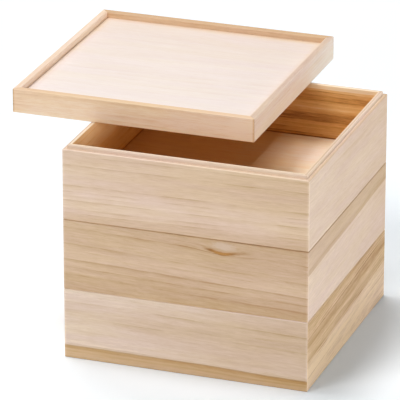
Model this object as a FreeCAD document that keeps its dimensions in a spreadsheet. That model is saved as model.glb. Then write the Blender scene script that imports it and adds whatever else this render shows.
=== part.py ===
import FreeCAD, Part
import os
import sys

import Sketcher

# Square food box of bare white wood: three identical tiers that stack, and a lid with a tray top.
# Each tier has four mitred walls round a floor panel. Each wall's rim steps up to an inner lip,
# and a rabbet under each wall and lid rail fits over the lip below.
# The origin is the middle of the box's footprint on the table. The front faces -Y, up is +Z.
# Lengths are in millimetres.

SIZES = [
    # outside of the box
    ("box_width", 195.0, "outside of a tier and of the lid, left to right"),
    ("box_depth", 195.0, "outside of a tier and of the lid, front to back"),
    ("tier_pitch", 56.7, "from a wall's lower edge up to its shoulder"),
    # a tier's wall
    ("wall", 6.0, "thickness of a wall"),
    ("shoulder", 3.0, "width of the step outside the lip"),
    ("lip_height", 3.0, "how far the lip stands above the shoulder"),
    ("fit_gap", 0.3, "clearance between a lip and the rabbet over it"),
    # a tier's floor
    ("floor_top", 15.7, "the floor's upper face above the wall's lower edge"),
    ("floor_thickness", 4.5, "thickness of the floor panel"),
    ("wall_groove_depth", 3.0, "how far the floor is let into a wall"),
    ("panel_gap", 0.4, "room for a panel to swell in its groove"),
    # eased edges
    ("corner_round", 0.9, "radius of the upright outer corners"),
    ("edge_ease", 0.6, "bevel along the long outer edges"),
    ("lip_ease", 0.4, "bevel along the lip's upper edges"),
    # the lid
    ("rail_height", 19.2, "height of a lid rail"),
    ("rail_thickness", 5.5, "thickness of a lid rail"),
    ("rail_groove_depth", 2.5, "how far the lid's panel is let into a rail"),
    ("tray_depth", 4.7, "from the rails' upper edge down to the panel"),
    ("lid_panel_thickness", 5.0, "thickness of the lid's panel"),
    # where the lid lies on the rim
    ("lid_shift_left", 61.0, "how far the lid lies to the left of closed"),
    ("lid_shift_back", 53.1, "how far the lid lies behind closed"),
    # cutting
    ("overrun", 2.0, "how far a cut runs past the wood"),
]

TIERS = ["bottom_tier", "middle_tier", "top_tier"]

# side of a frame, each a quarter turn on from the last: the size along it, the place of its outer face
SIDES = {
    "front": ("box_width", "0", "-Sizes.box_depth / 2"),
    "right": ("box_depth", "Sizes.box_width / 2", "0"),
    "back": ("box_width", "0", "Sizes.box_depth / 2"),
    "left": ("box_depth", "-Sizes.box_width / 2", "0"),
}


def make_sheet(doc):
    """Put the driving sizes in a spreadsheet: the name, the number and what it measures."""
    sheet = doc.addObject("Spreadsheet::Sheet", "Sizes")
    for row, (name, value, meaning) in enumerate(SIZES, start=1):
        sheet.set(f"A{row}", name)
        sheet.set(f"B{row}", str(value))
        sheet.setAlias(f"B{row}", name)
        sheet.set(f"C{row}", meaning)
    doc.recompute()
    return sheet


def origin_plane(body, role):
    """The body's own origin plane with this role."""
    return next(plane for plane in body.Origin.OriginFeatures if plane.Role == role)


def new_sketch(body, name, role):
    """An empty sketch on one of the body's origin planes."""
    sketch = body.newObject("Sketcher::SketchObject", name)
    sketch.AttachmentSupport = [(origin_plane(body, role), "")]
    sketch.MapMode = "FlatFace"
    return sketch


def bind_distance(sketch, kind, geometry, point, expression):
    """Hold a sketch point at this distance from the sketch's origin."""
    value = float(sketch.evalExpression(expression))
    index = sketch.addConstraint(Sketcher.Constraint(kind, -1, 1, geometry, point, value))
    sketch.setExpression(f"Constraints[{index}]", expression)


def add_outline(sketch, corners):
    """Draw a closed outline of straight lines through corners, each a pair of expressions."""
    places = []
    for across, up in corners:
        place = FreeCAD.Vector(sketch.evalExpression(across), sketch.evalExpression(up), 0)
        places.append(place)
    for start, end in zip(places, places[1:] + places[:1]):
        sketch.addGeometry(Part.LineSegment(start, end), False)
    for line in range(len(corners)):
        following = (line + 1) % len(corners)
        sketch.addConstraint(Sketcher.Constraint("Coincident", line, 2, following, 1))
    for line, (across, up) in enumerate(corners):
        if across == "0":
            sketch.addConstraint(Sketcher.Constraint("PointOnObject", line, 1, -2))
        else:
            bind_distance(sketch, "DistanceX", line, 1, across)
        if up == "0":
            sketch.addConstraint(Sketcher.Constraint("PointOnObject", line, 1, -1))
        else:
            bind_distance(sketch, "DistanceY", line, 1, up)


def wall_section():
    """A tier wall's cross-section: inward from the outer face, and up from the lower edge."""
    lip_top = "Sizes.tier_pitch + Sizes.lip_height"
    rabbet_side = "Sizes.shoulder - Sizes.fit_gap"
    rabbet_top = "Sizes.lip_height + Sizes.fit_gap"
    groove_side = "Sizes.wall - Sizes.wall_groove_depth"
    groove_bottom = "Sizes.floor_top - Sizes.floor_thickness"
    return [
        ("0", "Sizes.edge_ease"),
        ("Sizes.edge_ease", "0"),
        (rabbet_side, "0"),
        (rabbet_side, rabbet_top),
        ("Sizes.wall", rabbet_top),
        ("Sizes.wall", groove_bottom),
        (groove_side, groove_bottom),
        (groove_side, "Sizes.floor_top"),
        ("Sizes.wall", "Sizes.floor_top"),
        ("Sizes.wall", f"{lip_top} - Sizes.lip_ease"),
        ("Sizes.wall - Sizes.lip_ease", lip_top),
        ("Sizes.shoulder + Sizes.lip_ease", lip_top),
        ("Sizes.shoulder", f"{lip_top} - Sizes.lip_ease"),
        ("Sizes.shoulder", "Sizes.tier_pitch"),
        ("Sizes.edge_ease", "Sizes.tier_pitch"),
        ("0", "Sizes.tier_pitch - Sizes.edge_ease"),
    ]


def rail_section():
    """A lid rail's cross-section: inward from the outer face, and up from the lower edge."""
    rabbet_side = "Sizes.shoulder - Sizes.fit_gap"
    rabbet_top = "Sizes.lip_height + Sizes.fit_gap"
    groove_side = "Sizes.rail_thickness - Sizes.rail_groove_depth"
    groove_top = "Sizes.rail_height - Sizes.tray_depth"
    groove_bottom = f"{groove_top} - Sizes.lid_panel_thickness"
    return [
        ("0", "Sizes.edge_ease"),
        ("Sizes.edge_ease", "0"),
        (rabbet_side, "0"),
        (rabbet_side, rabbet_top),
        ("Sizes.rail_thickness", rabbet_top),
        ("Sizes.rail_thickness", groove_bottom),
        (groove_side, groove_bottom),
        (groove_side, groove_top),
        ("Sizes.rail_thickness", groove_top),
        ("Sizes.rail_thickness", "Sizes.rail_height - Sizes.edge_ease"),
        ("Sizes.rail_thickness - Sizes.edge_ease", "Sizes.rail_height"),
        ("Sizes.edge_ease", "Sizes.rail_height"),
        ("0", "Sizes.rail_height - Sizes.edge_ease"),
    ]


def add_mitre_outline(sketch, length, thickness):
    """Outline the waste at a board's right end: past the 45 degree mitre and its rounded corner.

    The sketch's x runs along the board from its middle, and its y inward from its outer face.
    """
    number = sketch.evalExpression
    half = f"Sizes.{length} / 2"
    radius = number("Sizes.corner_round")
    centre_x = number(f"{half} - Sizes.corner_round")
    far_x = number(f"{half} + Sizes.overrun")
    inner_x = number(f"{half} - Sizes.{thickness} - Sizes.overrun")
    inner_y = number(f"Sizes.{thickness} + Sizes.overrun")
    outer_y = -number("Sizes.overrun")
    arc_end_x = f"{half} - Sizes.corner_round * (1 - cos(45))"
    arc_end = FreeCAD.Vector(number(arc_end_x), number("Sizes.corner_round * (1 - sin(45))"), 0)

    up = FreeCAD.Vector(0, 0, 1)
    circle = Part.Circle(FreeCAD.Vector(centre_x, radius, 0), up, radius)
    down_angle = circle.parameter(FreeCAD.Vector(centre_x, 0, 0))
    corners = [
        arc_end,
        FreeCAD.Vector(inner_x, inner_y, 0),
        FreeCAD.Vector(far_x, inner_y, 0),
        FreeCAD.Vector(far_x, outer_y, 0),
        FreeCAD.Vector(centre_x, outer_y, 0),
        FreeCAD.Vector(centre_x, 0, 0),
    ]
    arc = sketch.addGeometry(Part.ArcOfCircle(circle, down_angle, circle.parameter(arc_end)), False)
    mitre, inner, far, outer, rise = [
        sketch.addGeometry(Part.LineSegment(start, end), False) for start, end in zip(corners, corners[1:])
    ]
    for first, second in [(arc, mitre), (mitre, inner), (inner, far), (far, outer), (outer, rise)]:
        sketch.addConstraint(Sketcher.Constraint("Coincident", first, 2, second, 1))
    sketch.addConstraint(Sketcher.Constraint("Coincident", rise, 2, arc, 1))
    sketch.addConstraint(Sketcher.Constraint("Horizontal", inner))
    sketch.addConstraint(Sketcher.Constraint("Vertical", far))
    sketch.addConstraint(Sketcher.Constraint("Horizontal", outer))
    sketch.addConstraint(Sketcher.Constraint("Vertical", rise))

    # the arc touches the outer face, so its start is on the x axis, straight below its centre
    sketch.addConstraint(Sketcher.Constraint("PointOnObject", arc, 1, -1))
    bind_distance(sketch, "DistanceX", arc, 1, f"{half} - Sizes.corner_round")
    bind_distance(sketch, "DistanceX", arc, 3, f"{half} - Sizes.corner_round")
    bind_distance(sketch, "DistanceY", arc, 3, "Sizes.corner_round")
    bind_distance(sketch, "DistanceX", arc, 2, arc_end_x)
    bind_distance(sketch, "DistanceX", mitre, 2, f"{half} - Sizes.{thickness} - Sizes.overrun")
    bind_distance(sketch, "DistanceY", mitre, 2, f"Sizes.{thickness} + Sizes.overrun")
    bind_distance(sketch, "DistanceX", inner, 2, f"{half} + Sizes.overrun")
    bind_distance(sketch, "DistanceY", outer, 1, "-Sizes.overrun")


def make_board(doc, label, section, length, thickness):
    """A moulded length of wood, mitred at both ends. Its outer face is on its own XZ plane."""
    body = doc.addObject("PartDesign::Body", label)
    body.Label = label

    profile = new_sketch(body, f"{label}_section", "YZ_Plane")
    add_outline(profile, section)
    stock = body.newObject("PartDesign::Pad", f"{label}_stock")
    stock.Profile = profile
    stock.SideType = "Symmetric"
    stock.setExpression("Length", f"Sizes.{length}")
    doc.recompute()

    waste = new_sketch(body, f"{label}_mitre_waste", "XY_Plane")
    add_mitre_outline(waste, length, thickness)
    right_mitre = body.newObject("PartDesign::Pocket", f"{label}_right_mitre")
    right_mitre.Profile = waste
    right_mitre.Type = "ThroughAll"
    right_mitre.Reversed = True

    both_mitres = body.newObject("PartDesign::Mirrored", f"{label}_left_mitre")
    both_mitres.Originals = [right_mitre]
    both_mitres.MirrorPlane = (origin_plane(body, "YZ_Plane"), [""])
    body.Tip = both_mitres
    doc.recompute()
    return body


def place(piece, turn, across, along, up):
    """Turn a piece by so many degrees about +Z and put it at these expressions."""
    piece.Placement = FreeCAD.Placement(FreeCAD.Vector(), FreeCAD.Rotation(FreeCAD.Vector(0, 0, 1), turn))
    piece.setExpression("Placement.Base.x", across)
    piece.setExpression("Placement.Base.y", along)
    piece.setExpression("Placement.Base.z", up)


def make_frame(doc, prefix, kind, section, thickness, across, along, up):
    """Four mitred boards round a middle that stands at these expressions."""
    boards = []
    for quarter, (side, (length, side_across, side_along)) in enumerate(SIDES.items()):
        board = make_board(doc, f"{prefix}_{side}_{kind}", section, length, thickness)
        turn = 360 * quarter / len(SIDES)
        place(board, turn, f"{across} + ({side_across})", f"{along} + ({side_along})", up)
        boards.append(board)
    return boards


def make_panel(doc, label, groove_side, thickness, across, along, up):
    """A thin panel let into the grooves of the four boards round it.

    The grooves end at groove_side, measured inward from the boards' outer faces.
    """
    panel = doc.addObject("Part::Box", label)
    panel.Label = label
    inset = f"{groove_side} + Sizes.panel_gap"
    panel.setExpression("Length", f"Sizes.box_width - 2 * ({inset})")
    panel.setExpression("Width", f"Sizes.box_depth - 2 * ({inset})")
    panel.setExpression("Height", f"Sizes.{thickness}")
    left = f"{across} - Sizes.box_width / 2 + {inset}"
    front = f"{along} - Sizes.box_depth / 2 + {inset}"
    place(panel, 0, left, front, up)
    return panel


def make_tier(doc, name, number_below):
    """One tier on top of so many others: four walls and a floor."""
    base = f"{number_below} * Sizes.tier_pitch"
    pieces = make_frame(doc, name, "wall", wall_section(), "wall", "0", "0", base)
    floor_bottom = f"{base} + Sizes.floor_top - Sizes.floor_thickness"
    groove_side = "Sizes.wall - Sizes.wall_groove_depth"
    pieces.append(make_panel(doc, f"{name}_floor", groove_side, "floor_thickness", "0", "0", floor_bottom))
    return pieces


def make_lid(doc):
    """The lid, which lies askew on the top tier's lip: four rails and the tray's panel."""
    across = "-Sizes.lid_shift_left"
    along = "Sizes.lid_shift_back"
    base = f"{len(TIERS)} * Sizes.tier_pitch + Sizes.lip_height"
    pieces = make_frame(doc, "lid", "rail", rail_section(), "rail_thickness", across, along, base)
    panel_bottom = f"{base} + Sizes.rail_height - Sizes.tray_depth - Sizes.lid_panel_thickness"
    groove_side = "Sizes.rail_thickness - Sizes.rail_groove_depth"
    panel = make_panel(doc, "lid_panel", groove_side, "lid_panel_thickness", across, along, panel_bottom)
    pieces.append(panel)
    return pieces


def check_document(doc, pieces):
    """Stop if an object failed to compute, or a piece isn't one sound solid."""
    for item in doc.Objects:
        if "Invalid" in item.State or "Error" in item.State:
            sys.exit(f"{item.Label} did not compute: {item.State}")
    for piece in pieces:
        if piece.Shape.isNull() or not piece.Shape.isValid() or len(piece.Shape.Solids) != 1:
            sys.exit(f"{piece.Label} is not one valid solid")


def main():
    doc = FreeCAD.newDocument("stacking_box")
    make_sheet(doc)
    pieces = []
    for number_below, name in enumerate(TIERS):
        pieces += make_tier(doc, name, number_below)
    pieces += make_lid(doc)
    doc.recompute()
    check_document(doc, pieces)
    os.makedirs("parts", exist_ok=True)
    for piece in pieces:
        piece.Shape.exportStep(f"parts/{piece.Label}.step")
        box = piece.Shape.BoundBox
        low = f"{box.XMin:.2f} {box.YMin:.2f} {box.ZMin:.2f}"
        high = f"{box.XMax:.2f} {box.YMax:.2f} {box.ZMax:.2f}"
        print(f"{piece.Label}: {low} to {high}, {piece.Shape.Volume:.0f} mm3")


main()
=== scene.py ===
import math

import bpy
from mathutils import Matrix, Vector


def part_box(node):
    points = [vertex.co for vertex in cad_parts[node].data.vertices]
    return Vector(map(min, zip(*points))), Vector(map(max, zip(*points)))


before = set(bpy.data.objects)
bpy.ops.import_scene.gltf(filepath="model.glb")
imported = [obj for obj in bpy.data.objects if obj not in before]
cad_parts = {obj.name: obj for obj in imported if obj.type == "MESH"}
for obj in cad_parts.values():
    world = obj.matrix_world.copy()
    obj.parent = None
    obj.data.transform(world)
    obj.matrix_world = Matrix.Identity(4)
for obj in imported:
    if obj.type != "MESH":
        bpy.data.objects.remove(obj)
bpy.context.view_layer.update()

# A square stacking food box of bare white wood: three tiers, and a lid with a tray top that lies
# askew on the rim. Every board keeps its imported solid. The looks are its wood, cut board by board.
# Lengths are in metres, angles in degrees, colours as they look on a screen, from 0 to 255.

MM = 0.001

# the box's own sizes
HALF_WIDTH = 97.5 * MM
WALL = 6 * MM
RAIL = 5.5 * MM
SHOULDER = 3 * MM
LIP_HEIGHT = 3 * MM
FLOOR_TOP = 15.7 * MM

# camera: what it is aimed at, where it stands from there, and its lens
AIM = (-0.0150, -0.0207, 0.1110)
CAMERA_AZIMUTH = 19.552
CAMERA_ELEVATION = 21.951
CAMERA_DISTANCE = 3.0945
LENS_MM = 364.42
SENSOR_MM = 36.0

# studio: the sky's level, and each lamp's azimuth, elevation, spread and level. A level is what a lamp
# alone gives a surface that faces up, as a share of what makes a colour look as it is written.
SKY_LEVEL = 0.04
LAMPS = {
    "key": (262, 78, 14, 0.34),
    "front_left_softbox": (325, 50, 24, 0.24),
    "left_softbox": (275, 45, 30, 0.04),
    "back_softbox": (211, 56, 30, 0.24),
    "back_right_softbox": (150, 74, 14, 0.06),
    "right_card": (80, 4, 8, 0.024),
    "front_card": (0, 6, 12, 0.016),
}
# a small gridded box of light over the open corner of the top tier
GRID_BOX_AIM = (44 * MM, 49 * MM, 129 * MM)
GRID_BOX_AZIMUTH = 90
GRID_BOX_ELEVATION = 65
GRID_BOX_DISTANCE = 0.4
GRID_BOX_SIZE = (72 * MM, 30 * MM)
GRID_BOX_SPREAD = 8
GRID_BOX_WATTS = 0.0042
# the paper that the box stands on, with a faint cool glow, which is seen but lights nothing: it offsets
# the warm light that the wood throws into the shadow
FLOOR_SIZE = 30.0
FLOOR_COLOUR = (254, 254, 254)
FLOOR_GLOW = (32, 74, 93)

# wood: its colours from pale sapwood to the brown of a streak, with the darkness of each from 0 to 1
WOOD_COLOURS = [
    (0.00, (248, 227, 205)),
    (0.12, (236, 214, 193)),
    (0.32, (224, 198, 169)),
    (0.55, (207, 178, 143)),
    (0.80, (187, 149, 105)),
    (1.00, (144, 101, 56)),
]
RAIL_COLOURS = [
    (0.00, (252, 232, 210)),
    (0.15, (244, 216, 184)),
    (0.35, (232, 200, 164)),
    (0.60, (214, 178, 136)),
    (1.00, (150, 98, 50)),
]
HEART_COLOURS = [
    (0.00, (246, 213, 164)),
    (0.30, (238, 194, 130)),
    (0.60, (217, 164, 94)),
    (1.00, (146, 91, 38)),
]
PALE_COLOURS = [
    (0.00, (253, 245, 234)),
    (0.30, (242, 224, 204)),
    (0.60, (224, 200, 178)),
    (1.00, (176, 138, 104)),
]
PANEL_COLOURS = [
    (0.00, (251, 242, 234)),
    (0.30, (240, 225, 213)),
    (0.60, (232, 208, 180)),
    (1.00, (200, 158, 110)),
]
# the darker, golden end of these colours also paints the lid's shadow on the top tier's floor
FLOOR_COLOURS = [
    (0.00, (249, 242, 232)),
    (0.30, (237, 222, 202)),
    (0.60, (230, 192, 142)),
    (1.00, (198, 146, 92)),
]
# what the wood's colour is multiplied by where it is golden, and where it is pink
GOLD = (255, 253, 249)
BLUSH = (253, 249, 254)
# stains: a line of pitch, a knot's inside, a brown band along a board's foot, and a painted highlight along
# a rim's inner edge
PITCH = (196, 142, 74)
KNOT = (220, 198, 180)
BAND = (212, 164, 92)
EDGE_HIGHLIGHT = (255, 238, 210)

# patterns of the grain: features per metre along it and across it, how far along the pattern starts,
# the noise's detail and its roughness
PATTERNS = {
    "wander": (6.0, 22.0, 0.0, 1.5, 0.5),
    "tremble": (40.0, 120.0, 3.0, 2.0, 0.5),
    "patch": (26.0, 60.0, 7.0, 3.0, 0.5),
    "blotch": (9.0, 40.0, 11.0, 1.0, 0.5),
    "streak": (22.0, 330.0, 17.0, 3.0, 0.6),
    "fibre": (90.0, 1100.0, 23.0, 3.0, 0.7),
    "pores": (160.0, 2600.0, 29.0, 1.0, 0.5),
    "pink": (9.0, 70.0, 37.0, 3.0, 0.7),
}
# how far apart two pieces lie in the patterns, so that no two pieces share their grain
SEED_STEP = 3.7
# the values of a pattern between which a patch of strong rings, a pore and pink wood set in
PATCH_ONSET = (0.38, 0.62)
PORE_ONSET = (0.66, 0.74)
PINK_ONSET = (0.34, 0.66)
# how dark a growth ring is, from its spring wood to the line that ends it
LATE_WOOD = [(0.0, 0.25), (0.08, 0.0), (0.5, 0.12), (0.8, 0.45), (0.93, 1.0), (1.0, 0.25)]
# how often a year's width changes, per metre out from the pith and per metre along the grain
YEARS_ACROSS = 70.0
YEARS_ALONG = 0.8
# what is left of a ring in a faint year and outside a patch, and the share of the years that are faint
FAINT_YEAR = 0.2
FAINT_YEARS = 0.2
FAINT_PATCH = 0.15
# how far a late wood line and a pore sink into the surface, as shares of the fibre's relief
RING_SINK = 0.5
PORE_SINK = 0.6
# the surface: its relief's depth and strength, how rough its hollows and its ridges are, and its gloss
RELIEF_DEPTH = 0.1 * MM
RELIEF_STRENGTH = 0.4
ROUGHNESS = (0.72, 0.50)
GLOSS = 0.3

# Bands on a board: the two distances between which each one fades.
# from the outer face inward
OUTER_ARRIS = (0.4 * MM, 1.0 * MM)
# from the inner face outward
INNER_ARRIS = (1.6 * MM, 1.0 * MM)
INNER_FACE = (0.3 * MM, 0.1 * MM)
# from the lip's outer side: outward over the shoulder, and inward over the lip
SHOULDER_BAND = (1.8 * MM, 0.6 * MM)
LIP_BAND = (0.2 * MM, 0.6 * MM)
# from the mitre's line to either side, and its darkness
MITRE_LINE = (0.05 * MM, 0.3 * MM)
MITRE_DARKNESS = 0.25
# from the lower edge up: the seam, a line of painted shade in the groove between tiers. It fades between two
# shares of the length, counted from the middle.
# It breaks so often per metre, between two values of a pattern, to a share of its strength.
SEAM_LINE = (0.3 * MM, 0.9 * MM)
SEAM_FADING = (-0.45, 0.2)
SEAM_BREAKS = 30.0
BREAK_ONSET = (0.35, 0.6)
BREAK_STRENGTH = 0.55
# from the floor up an inner face: how far the painted shade in the corner at its foot reaches, and its
# darkness
PAINTED_FOOT_SHADE_HEIGHT = 1.6 * MM
PAINTED_FOOT_SHADE_DARKNESS = 0.6
# how softly the rim's darkness and a brown band end, and how much of the grain shows on the rim
CROWN_FADE = 0.4 * MM
BAND_FADE = 0.8 * MM
RIM_GRAIN = 0.7
# from a panel's under face up to where its upper colours are full
UNDER_FACE = (0.1 * MM, 0.3 * MM)

# A knot, in its half-lengths along the grain and half-heights across it, from its middle.
# its pale inside: how far from the middle it fades, its share, how ragged its edge is, and how often
KNOT_EDGE = (0.4, 1.15)
KNOT_SHARE = 0.55
KNOT_RAGGED = 1.1
KNOT_RAGS = (3.0, 4.0)
# the line under it, a bend between two straight arms: where the arms would meet, to the left and below,
# how round the bend is, how steep the arms are, how ragged it is, its width, its ends and its darkness
LINE_LEFT = 0.10
LINE_BELOW = 1.90
LINE_BEND = 0.08
LINE_STEEPNESS = 0.62
LINE_RAGGED = 0.35
LINE_WIDTH = 0.55
LINE_LEFT_END = (-1.6, -0.7)
LINE_RIGHT_END = (0.1, 2.4)
LINE_DARKNESS = 0.55
# the pitch in the line: how far to either side of the bend it fades, and its share
PITCH_ENDS = (0.2, 1.2)
PITCH_SHARE = 0.85
# the grain that parts round the knot: how far off it runs straight again, and how strongly it parts
PARTING_ENDS = (0.4, 3.2)
PARTING_STRENGTH = 0.72


def linear(colour):
    """A screen colour as the linear colour, with alpha, that a shader takes."""
    shares = [value / 255 for value in colour]
    return [s / 12.92 if s <= 0.04045 else ((s + 0.055) / 1.055) ** 2.4 for s in shares] + [1.0]


class Graph:
    """Adds nodes to one material's tree. An input is a number, a tuple or another node's output."""

    def __init__(self, tree):
        self.tree = tree

    def node(self, kind, inputs=None, **settings):
        node = self.tree.nodes.new(kind)
        for name, value in settings.items():
            setattr(node, name, value)
        for name, value in (inputs or {}).items():
            if isinstance(value, bpy.types.NodeSocket):
                self.tree.links.new(value, node.inputs[name])
            else:
                node.inputs[name].default_value = value
        return node

    def math(self, operation, *values):
        return self.node("ShaderNodeMath", dict(enumerate(values)), operation=operation).outputs[0]

    def vector(self, x, y, z):
        return self.node("ShaderNodeCombineXYZ", {0: x, 1: y, 2: z}).outputs[0]

    def noise(self, place, detail=2.0, roughness=0.5):
        inputs = {"Vector": place, "Scale": 1.0, "Detail": detail, "Roughness": roughness}
        return self.node("ShaderNodeTexNoise", inputs).outputs["Fac"]

    def centred(self, value, amount):
        """A value from 0 to 1 as one from minus to plus half of amount."""
        return self.math("MULTIPLY", self.math("SUBTRACT", value, 0.5), amount)

    def smooth(self, value, low, high, to_low=0.0, to_high=1.0):
        """A smooth step from to_low, below low, to to_high, above high."""
        inputs = {"Value": value, "From Min": low, "From Max": high, "To Min": to_low, "To Max": to_high}
        return self.node("ShaderNodeMapRange", inputs, interpolation_type="SMOOTHSTEP").outputs["Result"]

    def ramp(self, value, stops, colours=False):
        """A value looked up in a list of (place, grey or screen colour)."""
        node = self.node("ShaderNodeValToRGB", {"Fac": value})
        elements = node.color_ramp.elements
        elements.remove(elements[1])
        elements[0].position = stops[0][0]
        for place, _ in stops[1:]:
            elements.new(place)
        for element, (_, tone) in zip(elements, stops):
            element.color = linear(tone) if colours else (tone, tone, tone, 1.0)
        return node.outputs["Color"]

    def mix(self, share, colour_0, colour_1, blend="MIX"):
        """This share of colour_1 laid over colour_0. The sockets 6, 7 and 2 are the node's colours."""
        inputs = {0: share, 6: colour_0, 7: colour_1}
        return self.node("ShaderNodeMix", inputs, data_type="RGBA", blend_type=blend).outputs[2]

    def sum(self, *values):
        total = values[0]
        for value in values[1:]:
            total = self.math("ADD", total, value)
        return total

    def times(self, *values):
        total = values[0]
        for value in values[1:]:
            total = self.math("MULTIPLY", total, value)
        return total

    def seen(self):
        """1 for the rays that see a thing, straight, mirrored or through glass, 0 for those that light."""
        rays = self.node("ShaderNodeLightPath").outputs
        mirrored = self.math("MAXIMUM", rays["Is Glossy Ray"], rays["Is Transmission Ray"])
        return self.math("MAXIMUM", rays["Is Camera Ray"], mirrored)


def board_places(graph, node, turn):
    """Places in a board's own axes: along it, inward from its outer face, and up from its lower edge."""
    low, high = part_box(node)
    middle = (low + high) / 2
    outward = Vector((math.sin(math.radians(turn)), -math.cos(math.radians(turn)), 0))
    half_size = (high - low) / 2
    outer = middle + Vector((outward.x * half_size.x, outward.y * half_size.y, -half_size.z))
    coordinates = graph.node("ShaderNodeTexCoord").outputs["Object"]
    inputs = {"Vector": coordinates, "Location": outer, "Rotation": (0, 0, math.radians(turn))}
    local = graph.node("ShaderNodeMapping", inputs, vector_type="TEXTURE").outputs[0]
    parts = graph.node("ShaderNodeSeparateXYZ", {0: local}).outputs
    return parts[0], parts[1], parts[2]


def knot(graph, along, height, knot_along, knot_up, half_length, half_height):
    """A small knot: the grain parts round it, it is pale inside, and a line of pitch sags under it.

    Gives the new height that the grain follows, how much darker the wood is there, and its stains: the share
    of the surface that each takes, and its colour.
    """
    run = graph.times(graph.sum(along, -knot_along), 1 / half_length)
    rise = graph.times(graph.sum(height, -knot_up), 1 / half_height)
    far = graph.math("SQRT", graph.sum(graph.times(run, run), graph.times(rise, rise)))

    rags_along, rags_across = KNOT_RAGS
    rags = graph.noise(graph.vector(graph.times(run, rags_along), 0.0, graph.times(rise, rags_across)))
    ragged = graph.centred(rags, KNOT_RAGGED)
    heart = graph.smooth(graph.sum(far, ragged), *KNOT_EDGE, KNOT_SHARE, 0.0)

    aside = graph.sum(run, LINE_LEFT)
    from_bend = graph.math("ABSOLUTE", aside)
    sag = graph.math("SQRT", graph.math("MULTIPLY_ADD", aside, aside, LINE_BEND))
    from_line = graph.sum(rise, graph.times(sag, -LINE_STEEPNESS), LINE_BELOW,
                          graph.times(ragged, LINE_RAGGED))
    across_line = graph.smooth(graph.math("ABSOLUTE", from_line), 0.0, LINE_WIDTH, 1.0, 0.0)
    ends = graph.times(graph.smooth(aside, *LINE_LEFT_END), graph.smooth(aside, *LINE_RIGHT_END, 1.0, 0.0))
    line = graph.times(across_line, ends)
    pitch = graph.times(line, graph.smooth(from_bend, *PITCH_ENDS, PITCH_SHARE, 0.0))

    parting = graph.smooth(far, *PARTING_ENDS, PARTING_STRENGTH, 0.0)
    height = graph.math("SUBTRACT", height, graph.times(rise, half_height, parting))
    return height, graph.times(line, LINE_DARKNESS), [(heart, KNOT), (pitch, PITCH)]


def grain(graph, place, seed, look):
    """Growth rings, streaks, fibre and pores of a piece of wood, from a place along, deep and up in it.

    Gives the height that the grain follows, how dark the grain is there, its relief, its hue from golden (0)
    to pink (1), and its stains.
    """
    along, deep, up = place

    def pattern(name, height):
        """A pattern that is longer along the grain than across it, from 0 to 1."""
        per_metre_along, per_metre_across, start, detail, roughness = PATTERNS[name]
        stretched = graph.vector(
            graph.math("MULTIPLY_ADD", along, per_metre_along, start),
            graph.math("MULTIPLY_ADD", deep, per_metre_across, seed),
            graph.math("MULTIPLY", height, per_metre_across),
        )
        return graph.noise(stretched, detail, roughness)

    wander = graph.centred(pattern("wander", up), look["wander"])
    tremble = graph.centred(pattern("tremble", up), look["tremble"])
    height = graph.sum(up, graph.times(along, look["slope"]), wander, tremble)
    knot_shade, stains = 0.0, []
    if "knot" in look:
        height, knot_shade, stains = knot(graph, along, height, *look["knot"])

    # growth rings round the pith: uneven years, some of them faint, each dark only in patches
    pith_up, pith_deep = look["pith"]
    rise = graph.math("SUBTRACT", height, pith_up)
    reach = graph.math("SUBTRACT", deep, pith_deep)
    radius = graph.math("SQRT", graph.sum(graph.times(rise, rise), graph.times(reach, reach)))
    years = graph.vector(seed, graph.times(radius, YEARS_ACROSS), graph.times(along, YEARS_ALONG))
    uneven = graph.centred(graph.noise(years), look["uneven"])
    count = graph.sum(graph.times(radius, 1 / look["ring"]), uneven)
    late = graph.ramp(graph.math("FRACT", count), LATE_WOOD)
    year = graph.sum(graph.math("FLOOR", count), seed)
    chance = graph.node("ShaderNodeTexWhiteNoise", {"W": year}, noise_dimensions="1D").outputs["Value"]
    strong_year = graph.smooth(chance, FAINT_YEARS, 1.0, FAINT_YEAR, 1.0)
    patch = graph.smooth(pattern("patch", up), *PATCH_ONSET, FAINT_PATCH, 1.0)
    rings = graph.times(late, strong_year, patch)

    fibre = pattern("fibre", height)
    pores = graph.smooth(pattern("pores", height), *PORE_ONSET)
    shade = graph.sum(
        graph.times(rings, look["ring_strength"]),
        graph.centred(pattern("blotch", height), look["blotch_strength"]),
        graph.centred(pattern("streak", height), look["streak_strength"]),
        graph.centred(fibre, look["fibre_strength"]),
        graph.times(pores, look["pore_strength"]),
        knot_shade,
    )
    relief = graph.sum(fibre, graph.times(rings, -RING_SINK), graph.times(pores, -PORE_SINK))
    goldest, pinkest = 0.5 - look["hues"] / 2, 0.5 + look["hues"] / 2
    hue = graph.smooth(pattern("pink", height), *PINK_ONSET, goldest, pinkest)
    return height, shade, relief, hue, stains


def finish_wood(graph, colour, hue, stains, relief, tint):
    """Finish a wood: its colour, golden to pink, its stains, its relief and its broken-up gloss."""
    colour = graph.mix(1.0, colour, graph.mix(hue, linear(GOLD), linear(BLUSH)), blend="MULTIPLY")
    for share, stain in stains:
        colour = graph.mix(share, colour, linear(stain))
    colour = graph.mix(1.0, colour, linear(tint), blend="MULTIPLY")
    rough = graph.smooth(relief, 0.0, 1.0, *ROUGHNESS)
    relief_inputs = {"Height": relief, "Strength": RELIEF_STRENGTH, "Distance": RELIEF_DEPTH}
    bump = graph.node("ShaderNodeBump", relief_inputs)
    inputs = {
        "Base Color": colour,
        "Roughness": rough,
        "Normal": bump.outputs[0],
        "Specular IOR Level": GLOSS,
    }
    shader = graph.node("ShaderNodeBsdfPrincipled", inputs)
    graph.node("ShaderNodeOutputMaterial", {"Surface": shader.outputs[0]})


def new_material(name):
    """An empty node material, and the graph that fills it."""
    material = bpy.data.materials.new(name)
    material.use_nodes = True
    material.node_tree.nodes.clear()
    return material, Graph(material.node_tree)


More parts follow.
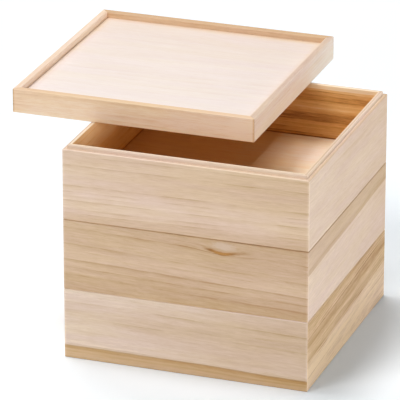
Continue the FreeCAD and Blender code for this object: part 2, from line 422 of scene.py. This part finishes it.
# What each piece looks like. Darkness is from 0 to 1, as in the lists of colours.
# The grain of every piece:
GRAIN = {
    "tint": (255, 255, 255),  # multiplies the colours
    "hues": 1.0,  # how far the hue strays from the middle, between golden and pink
    "slope": 0.0,  # how far the grain falls for each metre along
    "wander": 5 * MM,  # how far the grain strays up and down, over about 170 mm along
    "tremble": 0.4 * MM,  # and over about 25 mm along
    "pith": (-0.16, 0.03),  # where the tree's middle lies, up from the lower edge and in from the face
    "ring": 5.0 * MM,  # the width of a year's growth
    "uneven": 2.4,  # how far the years stray from even ones, in years
    "ring_strength": 0.32,  # how much darkness each pattern adds
    "blotch_strength": 0.20,
    "streak_strength": 0.28,
    "fibre_strength": 0.42,
    "pore_strength": 0.10,
}
# A wall, with its left and its right as its outer face is seen:
BOARD = {
    **GRAIN,
    "colours": WOOD_COLOURS,
    "tones": [(0.0, 0.40), (0.3, 0.25), (0.6, 0.33), (0.95, 0.35)],  # darkness by share of the height
    "painted_light_falloff": 0.0,  # painted shade, for light that falls off along the board: how much darker its right end is than its left end
    "corner": (0.4 * MM, 2.4 * MM, -0.12),  # near its ends: where a shade starts to fade and ends, and the shade; on a wall, a painted highlight down the corner
    "heart": 1.0,  # the share of HEART_COLOURS in its inner face
    "rim": 0.27,  # the darkness of its upward faces, partly painted shade that takes back the stronger light on them
    "crown": 0.7 * MM,  # how far the rim's darkness reaches down from the shoulder
    "painted_lip_foot_light": 0.10,  # painted light: how much paler the shoulder and the lip's outer side are beside the lip, where the lip's shade falls
    "pale_lip": 0.0,  # whether the rim's darkness covers the lip's inner face (1) or only its edge (0)
    "arris_highlight": 0.8,  # painted highlight: how far the rim's outer edge is painted pale
    "inner_arris_highlight": 1.0,  # painted highlight: how far its inner edge is painted pale
    "edge": 0.6,  # the share of the painted highlight colour on the inner edge
    "painted_seam_shade": 0.25,  # painted shade in the groove under the board: the darkness of the line along its lower edge
    "fading": (0.25, 1.0),  # how much of that line is left at its left and at its right
}
# A rail of the lid:
RAIL_BOARD = {
    **BOARD,
    "colours": RAIL_COLOURS,
    "tones": [(0.0, 0.25), (0.5, 0.20), (1.0, 0.25)],
    # on a rail the ends darken instead, in the dark line of the mitre's joint
    "corner": (0.8 * MM, 1.6 * MM, 0.45),
    "heart": 0.0,
    "painted_lip_foot_light": 0.0,
    "arris_highlight": 0.5,
    "inner_arris_highlight": 0.2,
    "edge": 0.0,
    "painted_seam_shade": 0.0,
    "wander": 4 * MM,
    "ring": 3.4 * MM,
}
# A floor or the lid's panel:
PANEL = {
    **GRAIN,
    "colours": FLOOR_COLOURS,
    "tones": [(0.0, 0.45), (1.0, 0.45)],  # darkness by share of the depth, from front to back
    "sides": [(0.0, 0.0), (1.0, 0.0)],  # darkness by share of the width, from left to right
    "painted_nook_shade": (0.35, 2.5 * MM),  # painted shade beside the boards round it: its darkness, and how far it reaches
    "wander": 16 * MM,
    "pith": (0.35, 0.7),  # back from its front edge and up from the table
    "ring_strength": 0.12,
    "blotch_strength": 0.14,
    "streak_strength": 0.22,
    "fibre_strength": 0.36,
}

# What each piece has of its own. A "band" is the top and the share of a BAND stain along the foot. A "knot"
# is a place along and up, a half-length and a half-height.
LOOKS = {
    "top_tier_front_wall": {
        "tones": [(0.0, 0.42), (0.07, 0.36), (0.18, 0.20), (0.40, 0.18), (0.52, 0.28), (0.95, 0.32)],
        "painted_light_falloff": 0.16,
        "arris_highlight": 1.0,
        "edge": 0.9,
        "crown": 0.5 * MM,
        "painted_seam_shade": 0.72,
        "slope": -0.01,
        "ring": 4.6 * MM,
    },
    "middle_tier_front_wall": {
        "tones": [(0.0, 0.60), (0.12, 0.56), (0.3, 0.44), (0.46, 0.34), (0.62, 0.48), (0.76, 0.46),
                  (0.95, 0.50)],
        "painted_light_falloff": 0.08,
        "rim": 0.62,
        "arris_highlight": 0.0,
        "painted_seam_shade": 0.0,
        "slope": 0.03,
        "ring": 6.0 * MM,
        "ring_strength": 0.34,
        "knot": (30.8 * MM, 53.0 * MM, 11 * MM, 3.5 * MM),
    },
    "bottom_tier_front_wall": {
        "tint": (250, 253, 255),
        "tones": [(0.0, 0.50), (0.03, 0.32), (0.065, 0.38), (0.085, 0.54), (0.105, 0.36), (0.145, 0.76),
                  (0.16, 0.68), (0.172, 0.18), (0.42, 0.22), (0.6, 0.32), (0.95, 0.18)],
        "band": (9.6 * MM, 0.38),
        "painted_light_falloff": 0.22,
        "arris_highlight": 0.85,
        "crown": 1.1 * MM,
        "slope": 0.01,
        "ring": 5.6 * MM,
        "ring_strength": 0.24,
    },
    "top_tier_right_wall": {
        "tones": [(0.0, 0.12), (0.06, 0.20), (0.3, 0.17), (0.6, 0.17), (0.95, 0.20)],
        "arris_highlight": 0.0,
        "rim": 0.42,
        "painted_lip_foot_light": 0.50,
        "inner_arris_highlight": 0.5,
        "edge": 0.4,
        "painted_light_falloff": 0.10,
        "painted_seam_shade": 0.45,
        "fading": (1.0, 0.0),
        "slope": 0.02,
        "ring_strength": 0.14,
    },
    "middle_tier_right_wall": {
        "tones": [(0.0, 0.13), (0.60, 0.15), (0.665, 0.18), (0.685, 0.54), (0.80, 0.42), (0.95, 0.48)],
        "rim": 0.62,
        "arris_highlight": 0.0,
        "painted_seam_shade": 0.0,
        "painted_light_falloff": 0.16,
        "slope": -0.03,
        "ring_strength": 0.16,
        "streak_strength": 0.20,
    },
    "bottom_tier_right_wall": {
        "tint": (255, 250, 234),
        # paler at its foot: painted light against the dim light off the shadowed floor beside it
        "tones": [(0.0, -0.03), (0.2, -0.02), (0.40, 0.06), (0.475, 0.54), (0.57, 0.28), (0.69, 0.66),
                  (0.8, 0.36), (0.95, 0.56)],
        "painted_light_falloff": 0.16,
        "slope": -0.05,
        "ring": 2.7 * MM,
        "ring_strength": 0.66,
        "streak_strength": 0.80,
        "fibre_strength": 0.60,
    },
    "top_tier_back_wall": {
        "tones": [(0.0, 0.50), (0.30, 0.36), (0.40, 0.42), (0.46, 0.50), (0.51, 0.74), (0.57, 0.70),
                  (0.61, 0.58), (0.66, 0.24), (0.73, 0.30), (0.78, 0.56), (0.84, 0.64), (0.87, 0.40),
                  (0.90, 0.16), (0.98, 0.08)],
        "pale_lip": 1.0,
        "wander": 3 * MM,
        "ring": 3.6 * MM,
        "ring_strength": 0.60,
        "streak_strength": 0.70,
        "fibre_strength": 0.70,
    },
    "top_tier_left_wall": {
        # darker towards its foot: painted shade for the shade inside the tier
        "tones": [(0.0, 0.48), (0.4, 0.28), (0.7, 0.10), (0.95, 0.02)],
    },
    "middle_tier_back_wall": {
        "tones": [(0.0, 0.22), (0.4, 0.12), (0.7, 0.26), (0.95, 0.30)],
        "slope": -0.02,
    },
    "middle_tier_left_wall": {
        "tones": [(0.0, 0.42), (0.35, 0.52), (0.6, 0.40), (0.95, 0.50)],
        "slope": 0.02,
    },
    "bottom_tier_back_wall": {
        "tones": [(0.0, 0.50), (0.3, 0.56), (0.55, 0.34), (0.95, 0.48)],
        "slope": 0.04,
    },
    "bottom_tier_left_wall": {
        "tones": [(0.0, 0.20), (0.3, 0.16), (0.62, 0.20), (0.68, 0.46), (0.95, 0.40)],
        "ring_strength": 0.40,
    },
    "lid_front_rail": {
        "tint": (255, 254, 248),
        "tones": [(0.0, 0.0), (0.3, 0.06), (0.6, 0.06), (1.0, 0.12)],
        "painted_light_falloff": -0.10,
        "rim": 0.30,
        "wander": 6 * MM,
        "ring_strength": 0.24,
    },
    "lid_right_rail": {
        "colours": PALE_COLOURS,
        "tones": [(0.0, 0.08), (0.5, 0.17), (1.0, 0.21)],
        "rim": 0.66,
        "arris_highlight": 0.3,
    },
    "lid_back_rail": {
        "tones": [(0.0, 0.34), (1.0, 0.34)],
        "rim": 0.62,
        "arris_highlight": 0.3,
    },
    "lid_left_rail": {
        "tones": [(0.0, 0.30), (0.40, 0.25), (0.55, 0.0), (1.0, 0.0)],
        "rim": 0.06,
    },
    "lid_panel": {
        "colours": PANEL_COLOURS,
        "hues": 0.5,
        "painted_nook_shade": (0.30, 8 * MM),
        "tones": [(0.0, 0.04), (0.4, 0.13), (1.0, 0.28)],
        "sides": [(0.0, 0.0), (1.0, 0.05)],
    },
    "top_tier_floor": {
        "painted_nook_shade": (0.15, 1.5 * MM),
        "tones": [(0.0, 0.30), (1.0, 0.30)],
        # painted shadow of the lid: dark and golden on the left, pale on the right where the light falls
        "sides": [(0.0, 0.46), (0.3, 0.36), (0.5, 0.24), (0.67, 0.22), (0.76, 0.08), (1.0, 0.06)],
    },
}


def wood_board(node, turn, seed):
    """A wall or rail: a board whose grain runs along it, with the heart side inward."""
    kind, thickness, lip = (RAIL_BOARD, RAIL, 0.0) if node.endswith("rail") else (BOARD, WALL, LIP_HEIGHT)
    look = {**kind, **LOOKS.get(node, {})}
    low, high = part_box(node)
    length = 2 * HALF_WIDTH
    top_edge = high.z - low.z - lip
    material, graph = new_material(f"{node}_wood")
    along, deep, up = board_places(graph, node, turn)
    height, shade, relief, hue, stains = grain(graph, (along, deep, up), seed, look)

    # the faces: tones by height, a brown band along the foot, painted shade that darkens a board from end to
    # end, and at the ends a painted highlight on a wall's corner or the dark line of a rail's mitre joint
    tone = graph.ramp(graph.math("DIVIDE", height, high.z - low.z), look["tones"])
    if "band" in look:
        top, share = look["band"]
        stains.append((graph.smooth(height, top - BAND_FADE, top, share, 0.0), BAND))
    from_corner = graph.sum(length / 2, graph.times(graph.math("ABSOLUTE", along), -1.0))
    corner_start, corner_end, corner_shade = look["corner"]
    corner = graph.smooth(from_corner, corner_start, corner_end, corner_shade, 0.0)
    face = graph.sum(tone, graph.times(along, look["painted_light_falloff"] / length), shade, corner)

    # the rim: painted highlights along its outer and inner edges, painted light on the shoulder beside the
    # lip, partly painted shade on its upward faces, and the mitre's line of glue
    outer_arris_highlight = graph.smooth(deep, *OUTER_ARRIS, look["arris_highlight"], 0.0)
    inner_arris_highlight = graph.smooth(deep, *[thickness - edge for edge in INNER_ARRIS], 0.0, look["inner_arris_highlight"])
    outside_highlights = graph.math("SUBTRACT", 1.0, graph.math("MAXIMUM", outer_arris_highlight, inner_arris_highlight))
    shoulder = graph.smooth(deep, *[SHOULDER - edge for edge in SHOULDER_BAND])
    # painted light on the shoulder beside the lip, against the lip's shade
    painted_lip_foot_light = graph.smooth(deep, *[SHOULDER + edge for edge in LIP_BAND], -look["painted_lip_foot_light"], 0.0)
    upward = graph.sum(look["rim"], graph.times(shoulder, painted_lip_foot_light), graph.times(shade, RIM_GRAIN))
    from_mitre = graph.math("ABSOLUTE", graph.sum(deep, graph.times(from_corner, -1.0)))
    mitre = graph.smooth(from_mitre, *MITRE_LINE, MITRE_DARKNESS, 0.0)
    rim = graph.sum(graph.times(upward, outside_highlights), mitre)

    # where the rim's darkness takes over: higher up on the lip's inner face than on the outer face
    inside = graph.smooth(deep, *[thickness - edge for edge in INNER_FACE])
    crown_start = top_edge - look["crown"]
    set_back = graph.times(inside, lip * (look["pale_lip"] - 1))
    crown = graph.smooth(graph.sum(up, set_back), crown_start, crown_start + CROWN_FADE)
    # a painted highlight along the rim's inner edge
    stains.append((graph.times(inner_arris_highlight, crown, look["edge"]), EDGE_HIGHLIGHT))

    # the seam under the board: a line of painted shade in the groove between tiers
    breaks = graph.noise(graph.vector(graph.times(along, SEAM_BREAKS), seed, 0.0))
    broken = graph.smooth(breaks, *BREAK_ONSET, BREAK_STRENGTH, 1.0)
    fading = graph.smooth(along, *[share * length for share in SEAM_FADING], *look["fading"])
    painted_seam_shade = graph.times(graph.smooth(up, *SEAM_LINE, look["painted_seam_shade"], 0.0), broken, fading)

    darkness = graph.sum(face, graph.times(crown, graph.math("SUBTRACT", rim, face)), painted_seam_shade)
    sap_colour = graph.ramp(darkness, look["colours"], colours=True)
    # painted shade in the corner where an inner face meets the floor
    painted_foot_shade = graph.smooth(up, FLOOR_TOP, FLOOR_TOP + PAINTED_FOOT_SHADE_HEIGHT, PAINTED_FOOT_SHADE_DARKNESS, 0.0)
    heart_colour = graph.ramp(graph.sum(darkness, painted_foot_shade), HEART_COLOURS, colours=True)
    colour = graph.mix(graph.times(inside, look["heart"]), sap_colour, heart_colour)
    finish_wood(graph, colour, hue, stains, relief, look["tint"])
    return material


def wood_panel(node, seed):
    """A floor or the lid's panel: one wide sheet whose grain runs from left to right."""
    look = {**PANEL, **LOOKS.get(node, {})}
    low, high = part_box(node)
    middle = (low + high) / 2
    material, graph = new_material(f"{node}_wood")
    coordinates = graph.node("ShaderNodeTexCoord").outputs["Object"]
    x, y, z = graph.node("ShaderNodeSeparateXYZ", {0: coordinates}).outputs
    from_front = graph.sum(y, -low.y)
    height, shade, relief, hue, stains = grain(graph, (x, z, from_front), seed, look)

    # tones from front to back and from left to right (on the top tier's floor, a painted shadow of the lid),
    # and painted shade beside the boards round it
    tone = graph.ramp(graph.math("DIVIDE", height, high.y - low.y), look["tones"])
    aside = graph.sum(x, -middle.x)
    behind = graph.sum(y, -middle.y)
    from_left = graph.math("MULTIPLY_ADD", aside, 0.5 / HALF_WIDTH, 0.5)
    furthest = graph.math("MAXIMUM", graph.math("ABSOLUTE", aside), graph.math("ABSOLUTE", behind))
    frame_thickness = RAIL if node == "lid_panel" else WALL
    from_frame = graph.sum(HALF_WIDTH - frame_thickness, graph.times(furthest, -1.0))
    # painted shade beside the boards round the panel
    painted_nook_darkness, painted_nook_width = look["painted_nook_shade"]
    painted_nook_shade = graph.smooth(from_frame, 0.0, painted_nook_width, painted_nook_darkness, 0.0)
    darkness = graph.sum(tone, shade, painted_nook_shade, graph.ramp(from_left, look["sides"]))

    upper_colour = graph.ramp(darkness, look["colours"], colours=True)
    under_colour = graph.ramp(darkness, HEART_COLOURS, colours=True)
    upper = graph.smooth(z, *[low.z + edge for edge in UNDER_FACE])
    colour = graph.mix(upper, under_colour, upper_colour)
    finish_wood(graph, colour, hue, stains, relief, look["tint"])
    return material


def dress(node, material):
    """Give a piece this material alone."""
    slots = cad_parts[node].data.materials
    slots.clear()
    slots.append(material)


# how far a side's board is turned from the front, anticlockwise from above
TURNS = {"front": 0, "right": 90, "back": 180, "left": 270}

for number, node in enumerate(sorted(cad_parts)):
    side = next((side for side in TURNS if f"_{side}_" in node), None)
    if side:
        dress(node, wood_board(node, TURNS[side], number * SEED_STEP))
    else:
        dress(node, wood_panel(node, number * SEED_STEP))


def towards(azimuth, elevation):
    """The direction from the object to a place seen at this azimuth and elevation."""
    a, e = math.radians(azimuth), math.radians(elevation)
    return Vector((math.sin(a) * math.cos(e), -math.cos(a) * math.cos(e), math.sin(e)))


def make_floor():
    """A wide sheet of white paper under the box."""
    half = FLOOR_SIZE / 2
    corners = [(-half, -half, 0), (half, -half, 0), (half, half, 0), (-half, half, 0)]
    mesh = bpy.data.meshes.new("floor")
    mesh.from_pydata(corners, [], [(0, 1, 2, 3)])
    floor = bpy.data.objects.new("floor", mesh)
    bpy.context.scene.collection.objects.link(floor)
    material, graph = new_material("floor_paper")
    paper = graph.node("ShaderNodeBsdfDiffuse", {"Color": linear(FLOOR_COLOUR)}).outputs[0]
    glow_inputs = {"Color": linear(FLOOR_GLOW), "Strength": graph.seen()}
    glow = graph.node("ShaderNodeEmission", glow_inputs).outputs[0]
    both = graph.node("ShaderNodeAddShader", {0: paper, 1: glow}).outputs[0]
    graph.node("ShaderNodeOutputMaterial", {"Surface": both})
    mesh.materials.append(material)


def make_sky():
    """A white studio round the object, which is seen at full white and lights it at SKY_LEVEL."""
    world = bpy.data.worlds.new("studio")
    world.use_nodes = True
    world.node_tree.nodes.clear()
    graph = Graph(world.node_tree)
    strength = graph.math("MULTIPLY_ADD", graph.seen(), 1 - SKY_LEVEL, SKY_LEVEL)
    background = graph.node("ShaderNodeBackground", {"Color": (1, 1, 1, 1), "Strength": strength}).outputs[0]
    graph.node("ShaderNodeOutputWorld", {"Surface": background})
    bpy.context.scene.world = world


def add_object(name, data, back):
    """Put a lamp or a camera in the scene, turned so that its back is in this direction."""
    thing = bpy.data.objects.new(name, data)
    thing.rotation_euler = back.to_track_quat("Z", "Y").to_euler()
    bpy.context.scene.collection.objects.link(thing)
    return thing


def make_lamp(name, azimuth, elevation, spread, level):
    """A soft lamp far away in this direction, as bright as its level on a surface that faces up."""
    data = bpy.data.lights.new(name, "SUN")
    data.energy = level * math.pi / math.sin(math.radians(elevation))
    data.angle = math.radians(spread)
    add_object(name, data, towards(azimuth, elevation))


def make_grid_box():
    """A lamp whose narrow beam lights the open corner of the top tier with a soft-edged oblong."""
    data = bpy.data.lights.new("grid_box", "AREA")
    data.shape = "RECTANGLE"
    data.size, data.size_y = GRID_BOX_SIZE
    data.spread = math.radians(GRID_BOX_SPREAD)
    data.energy = GRID_BOX_WATTS
    back = towards(GRID_BOX_AZIMUTH, GRID_BOX_ELEVATION)
    lamp = add_object("grid_box", data, back)
    lamp.visible_camera = False
    lamp.location = Vector(GRID_BOX_AIM) + back * GRID_BOX_DISTANCE


def make_camera():
    """The photograph's own view of the box."""
    data = bpy.data.cameras.new("camera")
    data.lens = LENS_MM
    data.sensor_width = SENSOR_MM
    back = towards(CAMERA_AZIMUTH, CAMERA_ELEVATION)
    camera = add_object("camera", data, back)
    camera.location = Vector(AIM) + back * CAMERA_DISTANCE
    bpy.context.scene.camera = camera


make_floor()
make_sky()
for name, lamp in LAMPS.items():
    make_lamp(name, *lamp)
make_grid_box()
make_camera()
bpy.context.scene.view_settings.view_transform = "Standard"
